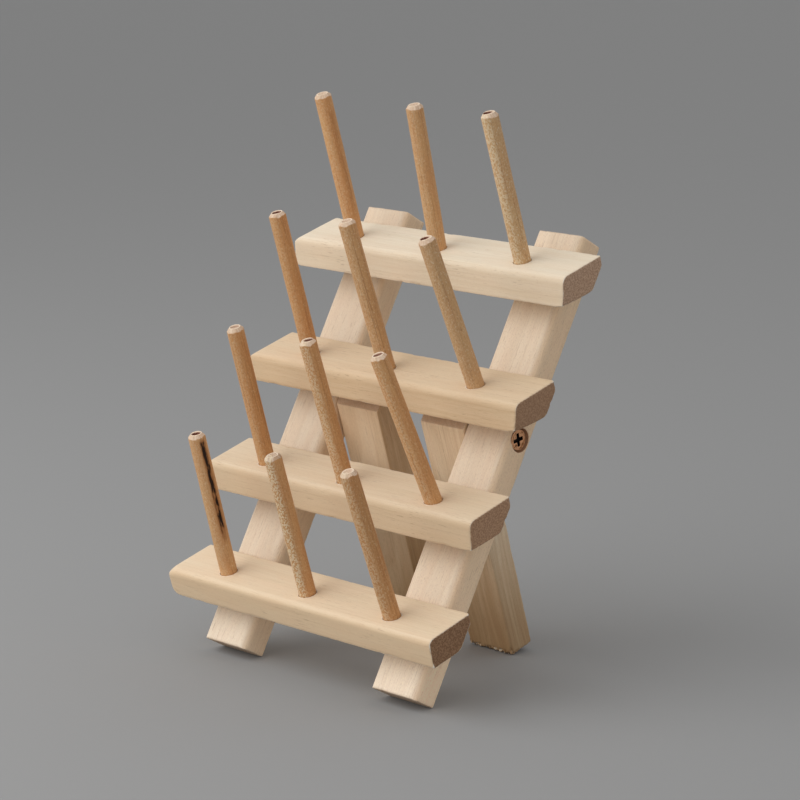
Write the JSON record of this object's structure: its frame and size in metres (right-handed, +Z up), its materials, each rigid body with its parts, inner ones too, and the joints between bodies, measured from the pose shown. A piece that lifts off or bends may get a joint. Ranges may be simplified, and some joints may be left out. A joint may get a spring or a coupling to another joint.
{
  "type": "thread spool rack",
  "caption": "Small folding wooden rack whose tilted shelves carry upright dowel pegs for spools of sewing thread, on leaning rails with swing-out rear legs.",
  "frame": {"origin": "on the floor, under the middle of the rack's box", "axes": "+X along the shelves to the right, +Y to the back, +Z up"},
  "size_m": [0.1338, 0.1118, 0.1994],
  "materials": {
    "board": "bare, sanded",
    "dowel": "bare, slightly fuzzy",
    "leg": "bare, sanded",
    "screw": "dull, browned"
  },
  "bodies": {
    "rack": {"left_rail": "board", "right_rail": "board", "shelf_1": "board", "shelf_2": "board", "shelf_3": "board", "shelf_4": "board", "peg_1_1": "dowel", "peg_1_2": "dowel", "peg_1_3": "dowel", "peg_2_1": "dowel", "peg_2_2": "dowel", "peg_2_3": "dowel", "peg_3_1": "dowel", "peg_3_2": "dowel", "peg_3_3": "dowel", "peg_4_1": "dowel", "peg_4_2": "dowel", "peg_4_3": "dowel", "left_shelf_screws": "screw", "right_shelf_screws": "screw"},
    "left_leg": {"left_leg": "leg", "left_pivot_screw": "screw"},
    "right_leg": {"right_leg": "leg", "right_pivot_screw": "screw"}
  },
  "joints": [
    {"name": "left_leg_fold", "type": "hinge", "parent": "rack", "child": "left_leg", "pos_m": [-0.03053, 0.01505, 0.08621], "axis": [-1, 0, 0], "range_deg": [0, 46.5]},
    {"name": "right_leg_fold", "type": "hinge", "parent": "rack", "child": "right_leg", "pos_m": [0.03277, 0.01505, 0.08621], "axis": [-1, 0, 0], "range_deg": [0, 46.5]}
  ]
}
